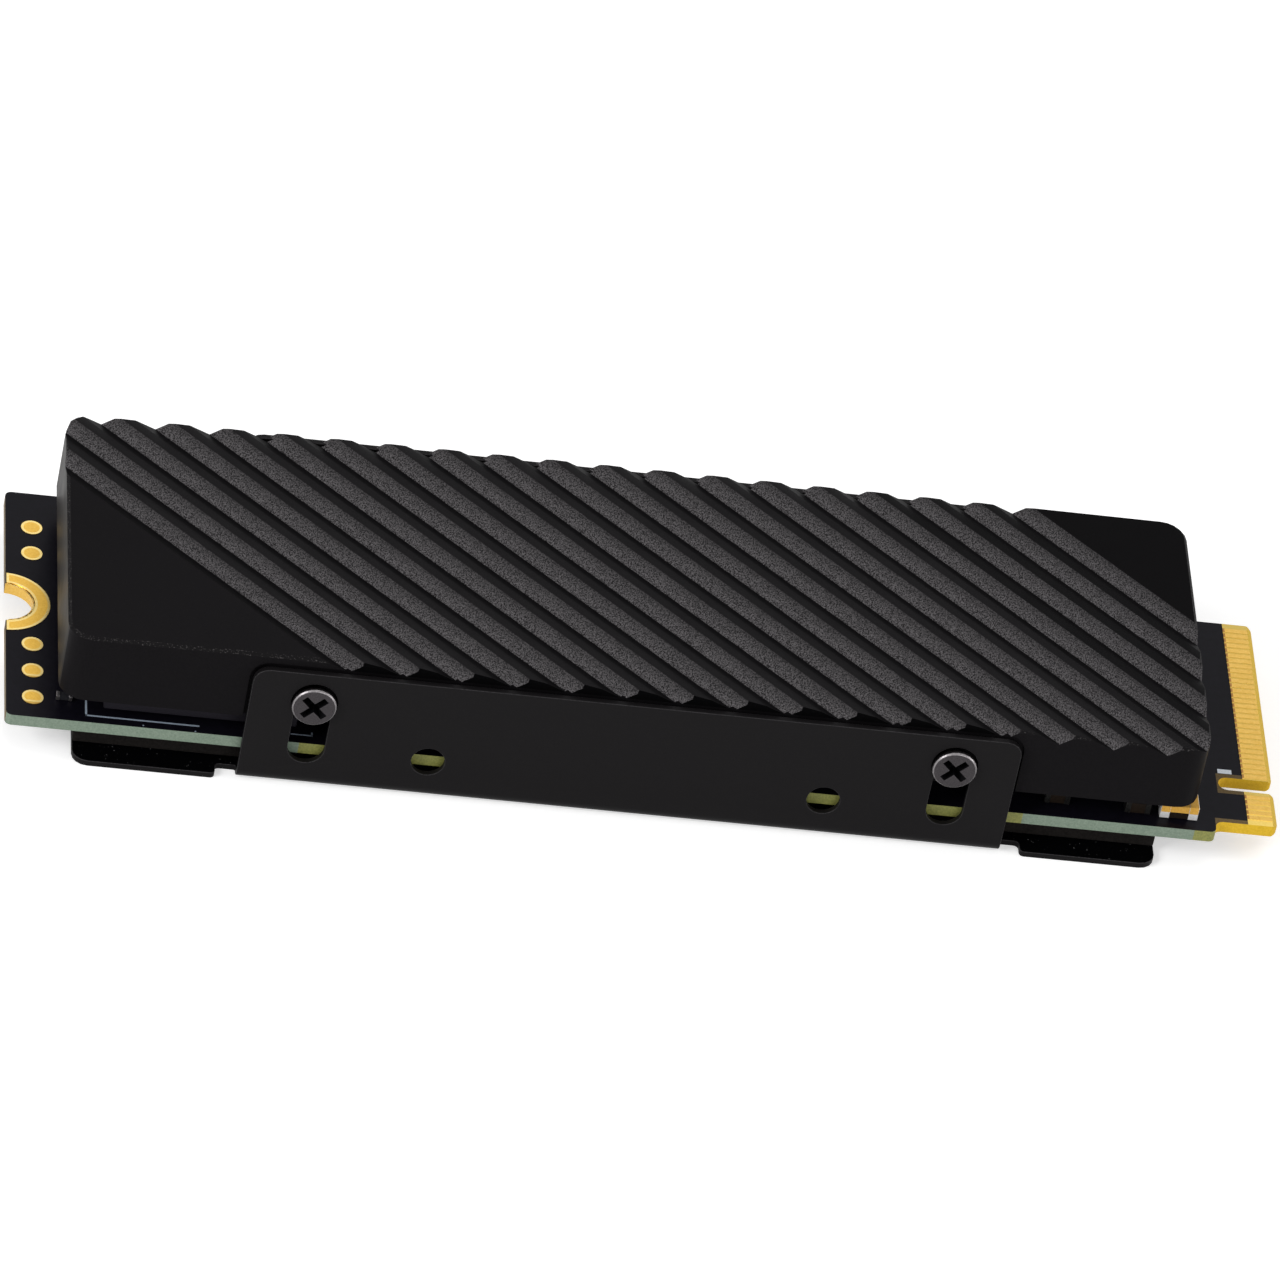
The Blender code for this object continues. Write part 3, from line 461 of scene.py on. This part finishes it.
def makeBlasted():
    # The walls' specks, lighter as painted light where the walls face the lamp, and darker towards
    # the crest as painted shade
    look = sinkLook
    ground = look["blasted"]
    material, tree, shader = newMaterial("blastedAndLitAnodised", ground["ground"], ground["roughness"],
                                         specular=ground["specular"])
    place = objectPlace(tree)
    specks = grain(tree, place, look["speck"], detail=2.0)
    across = tree.nodes.new("ShaderNodeVectorMath")
    across.operation = "DOT_PRODUCT"
    across.inputs[1].default_value = look["across"]
    tree.links.new(place, across.inputs[0])
    fromFirst = combined(tree, "SUBTRACT", across.outputs["Value"], look["firstGroove"])
    withinRib = combined(tree, "FLOORED_MODULO", fromFirst, look["pitch"])
    fade = spread(tree, withinRib, *look["bottomToCrest"], 0.0, look["ribFront"])
    lit = combined(tree, "MULTIPLY", spread(tree, specks, *look["speckRange"]), fade)
    tree.links.new(ramp(tree, lit, look["specks"]), shader.inputs["Base Color"])
    bump(tree, shader, specks, look["speckDepth"], look["speckStrength"])
    return material


def sinkPaint(face):
    look = sinkLook
    left, right = look["flap"]
    farX, farY = look["farCorner"]
    low = min(vertex.co.z for vertex in face.verts)
    middle = face.calc_center_median()
    across = face.normal.dot(Vector(look["across"]))
    onRibs = look["ribsFrom"] < low < look["plainFrom"]
    onPlain = low > look["plainFrom"]
    overFlap = left < middle.x < right and abs(middle.y) > look["side"]
    # blasted walls facing the lamp, painted lighter as painted light
    if onRibs and face.normal.z > look["wallFacing"] and across < -look["wallFacing"]:
        return "blastedAndLitAnodised"
    # side strip over a flap: painted shadow
    if overFlap and middle.z > look["stripFrom"] and abs(face.normal.y) > making["leaning"]:
        return "paintedShadowAnodised"
    # back slopes, facing away from the lamp: painted shade
    if onRibs and face.normal.z > making["leaning"] and across > look["backFacing"]:
        return "paintedShadeAnodised"
    # plateau rim: speckled painted highlight
    if onPlain and face.normal.z < making["square"]:
        return "speckledRimHighlight"
    # far right corner of the plateau: painted shade
    if onPlain and middle.x > farX and middle.y > farY:
        return "paintedShadeAnodised"
    # left end wall: painted light
    return "paintedLightEndAnodised" if face.normal.x < -making["square"] else "satinAnodised"


def makeHeatsink():
    look = sinkLook
    bm = mergedCopy("heatsink")
    for face in bm.faces:
        face.material_index = look["paints"].index(sinkPaint(face))
    sink = addObject("groovedHeatsink", bm)
    dress(sink, look["paints"])
    roundEdges(sink, look["edge"])
    standsFor(sink, "heatsink")


paints["blastedAndLitAnodised"] = makeBlasted()
makeHeatsink()
print("heatsink ready")


# Bracket: folded sheet with its edges just broken, a painted highlight on the broken edges and
# painted shadow on the base's top
bracketLook = {
    "paints": ("blackenedSheet", "paintedShadowSheet", "paintedHighlightEdge"),
    "edge": 0.035 * mm,
    "baseBelow": 0.5 * mm,
}


def makeBracket():
    look = bracketLook
    bm = mergedCopy("bracket")
    for face in bm.faces:
        # the base's upward faces get the painted shadow
        onBase = isSquare(face) and face.calc_center_median().z < look["baseBelow"]
        name = "paintedShadowSheet" if onBase else "blackenedSheet"
        face.material_index = look["paints"].index(name)
    bracket = addObject("foldedBracket", bm)
    dress(bracket, look["paints"])
    roundEdges(bracket, look["edge"])
    # the bevel's new faces carry the painted highlight
    bracket.modifiers["edges"].material = look["paints"].index("paintedHighlightEdge")
    standsFor(bracket, "bracket")


makeBracket()
print("bracket ready")


# Circuit board: mask on its faces, bare laminate at its cut edges and round the tongue,
# and gold on its copper, with the contacts' sides and the gaps between them painted lighter as
# painted light
boardLook = {
    "paints": ("solderMask", "mintLaminate", "oliveLaminate", "goldenLaminate", "tanLaminate",
               "platedGold", "orangeGold", "brownGold", "markingInk", "contactFloor",
               "brightGold", "markWhite", "paintedLightContactGap"),
    "bottom": 2.1 * mm,
    "top": 2.9 * mm,
    "slack": 0.01 * mm,
    "contactEnd": 40.0 * mm,
    "bevelRun": 0.3 * mm,
    "contactsFrom": 38.1 * mm,
    "contactTip": 38.22 * mm,
    "shoulder": 36.0 * mm,
    "tongueSide": 9.925 * mm,
    "slot": (-6.725 * mm, -5.525 * mm),
    "slotFrom": 36.5 * mm,
    "pullback": 0.35 * mm,
    "endPullback": 0.10 * mm,
    # the cut edge's colour changes at these places along the board
    "edgeSteps": (-21.8 * mm, 23.7 * mm, 34.6 * mm, 36.05 * mm),
    "edgePaints": ("mintLaminate", "oliveLaminate", "mintLaminate", "oliveLaminate",
                   "goldenLaminate"),
    "padsBefore": -30.0 * mm,
    "discCorners": 12,
    "padRim": 0.16 * mm,
    "notch": (-40.0 * mm, 0.0),
    "ringInside": 1.860 * mm,
    "notchEnd": -39.9 * mm,
    "notchCopper": -39.940 * mm,
}

# Plain bars and dots of marking ink, a little above the mask, with places in mm
printLook = {
    "rise": 0.012 * mm,
    # left, near, right and far sides
    "bars": [
        (-35.09, -10.41, -34.97, -8.80),
        (-35.09, -10.41, -28.00, -10.29),
        (-22.34, -10.26, -20.93, -10.16),
        (-21.04, -10.26, -20.93, -9.90),
        (36.55, -5.15, 37.45, -4.75),
    ],
    "dots": [(-31.48, -10.80), (-28.25, -10.89)],
    "dotRadius": 0.05 * mm,
    "dotCorners": 12,
}


def fromNotch(place):
    x, y = boardLook["notch"]
    return math.hypot(place.x - x, place.y - y)


def edgePaint(face, middle):
    look = boardLook
    if fromNotch(middle) < look["ringInside"]:
        return "platedGold"
    if face.normal.x < -making["square"] and middle.x < look["notchEnd"]:
        return "tanLaminate"
    return look["edgePaints"][sum(middle.x > step for step in look["edgeSteps"])]


def boardPaint(face):
    look = boardLook
    slack = look["slack"]
    heights = [vertex.co.z for vertex in face.verts]
    middle = face.calc_center_median()
    if max(heights) > look["top"] + slack or min(heights) < look["bottom"] - slack:
        # the contacts' sides are painted lighter as painted light
        if middle.x > look["shoulder"] and isUpright(face):
            return "paintedLightContactGap"
        onTip = look["contactsFrom"] < middle.x < look["contactTip"]
        return "brownGold" if onTip else "platedGold"
    if isUpright(face):
        return edgePaint(face, middle)
    if max(fromNotch(vertex.co) for vertex in face.verts) < look["ringInside"] + slack:
        return "platedGold"
    if middle.x > look["contactsFrom"]:
        # between the contacts the floor is painted lighter as painted light
        onBevel = middle.x > look["contactEnd"] - look["bevelRun"]
        return "contactFloor" if onBevel else "paintedLightContactGap"
    near, far = look["slot"]
    besideTongue = middle.x > look["shoulder"] and middle.y < look["pullback"] - look["tongueSide"]
    alongSlot = middle.x > look["slotFrom"] - look["endPullback"]
    besideSlot = alongSlot and near - look["pullback"] < middle.y < far + look["pullback"]
    return "tanLaminate" if besideTongue or besideSlot else "solderMask"


def rimPads(bm):
    look = boardLook
    index = look["paints"].index
    discs = [face for face in bm.faces
             if isSquare(face) and face.material_index == index("platedGold")
             and face.calc_center_median().x < look["padsBefore"]
             and len(face.verts) > look["discCorners"]]
    rims = bmesh.ops.inset_individual(bm, faces=discs, thickness=look["padRim"], depth=0,
                                      use_even_offset=True)
    for face in discs:
        face.material_index = index("orangeGold")
    for face in rims["faces"]:
        face.material_index = index("brightGold")


def addPrint(bm):
    look = printLook
    height = boardLook["top"] + look["rise"] / 2
    before = set(bm.faces)
    for left, near, right, far in look["bars"]:
        middle = Vector(((left + right) / 2 * mm, (near + far) / 2 * mm, height))
        size = Matrix.Diagonal(((right - left) * mm, (far - near) * mm, look["rise"], 1))
        bmesh.ops.create_cube(bm, size=1, matrix=Matrix.Translation(middle) @ size)
    for x, y in look["dots"]:
        bmesh.ops.create_cone(bm, cap_ends=True, segments=look["dotCorners"],
                              radius1=look["dotRadius"], radius2=look["dotRadius"],
                              depth=look["rise"],
                              matrix=Matrix.Translation((x * mm, y * mm, height)))
    for face in bm.faces:
        if face not in before:
            byContacts = face.calc_center_median().x > boardLook["shoulder"]
            name = "markWhite" if byContacts else "markingInk"
            face.material_index = boardLook["paints"].index(name)


def makeBoard():
    look = boardLook
    bm = mergedCopy("circuit_board")
    slotNear, slotFar = look["slot"]
    for x in (look["notchCopper"], look["contactsFrom"], look["contactTip"],
              look["slotFrom"] - look["endPullback"], look["shoulder"], *look["edgeSteps"]):
        cutAlong(bm, (x, 0, 0), (1, 0, 0))
    for y in (look["pullback"] - look["tongueSide"], slotNear - look["pullback"],
              slotFar + look["pullback"]):
        cutAlong(bm, (0, y, 0), (0, 1, 0))
    for face in bm.faces:
        face.material_index = look["paints"].index(boardPaint(face))
    rimPads(bm)
    bmesh.ops.recalc_face_normals(bm, faces=bm.faces)
    addPrint(bm)
    board = addObject("drivenBoard", bm)
    dress(board, look["paints"])
    smoothSides(board)
    standsFor(board, "circuit_board")


makeBoard()
print("circuit board ready")


# Moulded packages, inductors, crystal and pads
plainPieces = {
    "controller": ("blackMould", "black_mould", 0.05 * mm),
    "dram_package": ("blackMould", "black_mould", 0.05 * mm),
    "memory_package_1": ("blackMould", "black_mould", 0.05 * mm),
    "memory_package_2": ("blackMould", "black_mould", 0.05 * mm),
    "power_chip": ("blackMould", "black_mould", 0.04 * mm),
    "crystal": ("nickelLid", "nickel_lid", 0.08 * mm),
    "inductor_core": ("ferrite", "grey_ferrite", 0.08 * mm),
    "inductor_memory": ("ferrite", "grey_ferrite", 0.08 * mm),
    "inductor_input": ("ferrite", "grey_ferrite", 0.08 * mm),
    # the pads are painted near black as painted shade
    "lower_thermal_pad": ("shadedSilicone", "grey_silicone", 0.12 * mm),
    "upper_thermal_pad": ("shadedSilicone", "grey_silicone", 0.08 * mm),
}


def makePlainPieces():
    for node, (name, slot, edge) in plainPieces.items():
        piece = addObject(f"shown_{node}", mergedCopy(node))
        dress(piece, (name,))
        roundEdges(piece, edge)
        standsFor(piece, node)


makePlainPieces()
print("packages and pads ready")


# Two-ended parts: tin at both ends of the long side, with the brown ceramic bodies darkened to
# near black as painted shade under the heatsink
twoEnded = {
    "small_capacitor": ("shadedBrownCeramic", "ceramic", 0.25 * mm),
    "large_capacitor": ("shadedBrownCeramic", "ceramic", 0.35 * mm),
    "resistor": ("resistorFilm", "resistor_film", 0.22 * mm),
    "polymer_capacitor": ("tanMould", "tan_mould", 0.6 * mm),
}
endLook = {
    "slack": 1.02,
    # the moulded one's tin reaches this share of its height
    "terminalShare": 0.48,
    # the part before this place shows beside the heatsink, with grey ends; the others' tin ends
    # are darkened as painted shade
    "brightBefore": -36.0 * mm,
}


def endPaint(moulded, low):
    if moulded:
        return "tinEnds"
    return "rimHighlightAndGreyTin" if low.x < endLook["brightBefore"] else "paintedShadeTin"


def makeTwoEnded():
    body, ends, between = range(3)
    for node in sorted(nodes):
        kind = next((kind for kind in twoEnded if node.startswith(kind)), None)
        if not kind:
            continue
        name, slot, end = twoEnded[kind]
        low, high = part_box(node)
        reach = end * endLook["slack"]
        bm = mergedCopy(node)
        moulded = kind == "polymer_capacitor"
        terminalTop = low.z + endLook["terminalShare"] * (high.z - low.z)
        if moulded:
            cutAlong(bm, (0, 0, terminalTop), (0, 0, 1))
        for face in bm.faces:
            middle = face.calc_center_median()
            onEnd = not low.x + reach <= middle.x <= high.x - reach
            face.material_index = ends if onEnd else body
            if moulded and abs(face.normal.x) < making["leaning"]:
                lower = ends if onEnd else between
                face.material_index = body if middle.z > terminalTop else lower
        piece = addObject(f"shown_{node}", bm)
        dress(piece, (name, endPaint(moulded, low), "shadedBrownCeramic"))
        smoothSides(piece)
        standsFor(piece, node)


makeTwoEnded()
print("small parts ready")


# Screws: a grey face with a painted highlight on its rim and a cross darkened as painted shade
screwLook = {
    "nodes": ("screw_near_left", "screw_near_right", "screw_far_left", "screw_far_right"),
    "paints": ("blackOxide", "rimHighlightAndGreyTin", "paintedShadeRecess"),
    "edge": 0.03 * mm,
    "face": 12.05 * mm,
    "cross": 0.80 * mm,
    "crossGrowth": 1.34,
    # depths and reaches of the faces in the cross and round the head's rim
    "recessDepth": (0.02 * mm, 1.2 * mm),
    "recessReach": 1.1 * mm,
    "rimDepth": 0.2 * mm,
    "rimReach": 1.25 * mm,
    "flatFacing": 0.95,
}


def makeScrew(node):
    look = screwLook
    low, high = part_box(node)
    axis = Vector(((low.x + high.x) / 2, 0, (low.z + high.z) / 2))
    shallow, deep = look["recessDepth"]

    def fromAxis(vertex):
        return Vector((vertex.co.x, 0, vertex.co.z)) - axis

    def paint(face):
        reach = max(fromAxis(vertex).length for vertex in face.verts)
        depth = look["face"] - min(abs(vertex.co.y) for vertex in face.verts)
        # faces inside the cross: painted shade
        if reach < look["recessReach"] and shallow < depth < deep:
            return "paintedShadeRecess"
        # the rim's sloping faces carry the painted highlight
        onRim = depth < look["rimDepth"] and reach > look["rimReach"]
        return "rimHighlightAndGreyTin" if onRim and abs(face.normal.y) < look["flatFacing"] else "blackOxide"

    bm = mergedCopy(node)
    for vertex in bm.verts:
        out = fromAxis(vertex)
        if out.length < look["cross"] and look["face"] - abs(vertex.co.y) < deep:
            vertex.co += out * (look["crossGrowth"] - 1)
    for face in bm.faces:
        face.material_index = look["paints"].index(paint(face))
    piece = addObject(f"shown_{node}", bm)
    dress(piece, look["paints"])
    roundEdges(piece, look["edge"])
    standsFor(piece, node)


for node in screwLook["nodes"]:
    makeScrew(node)
print("screws ready")

bpy.context.scene.view_settings.view_transform = "Standard"
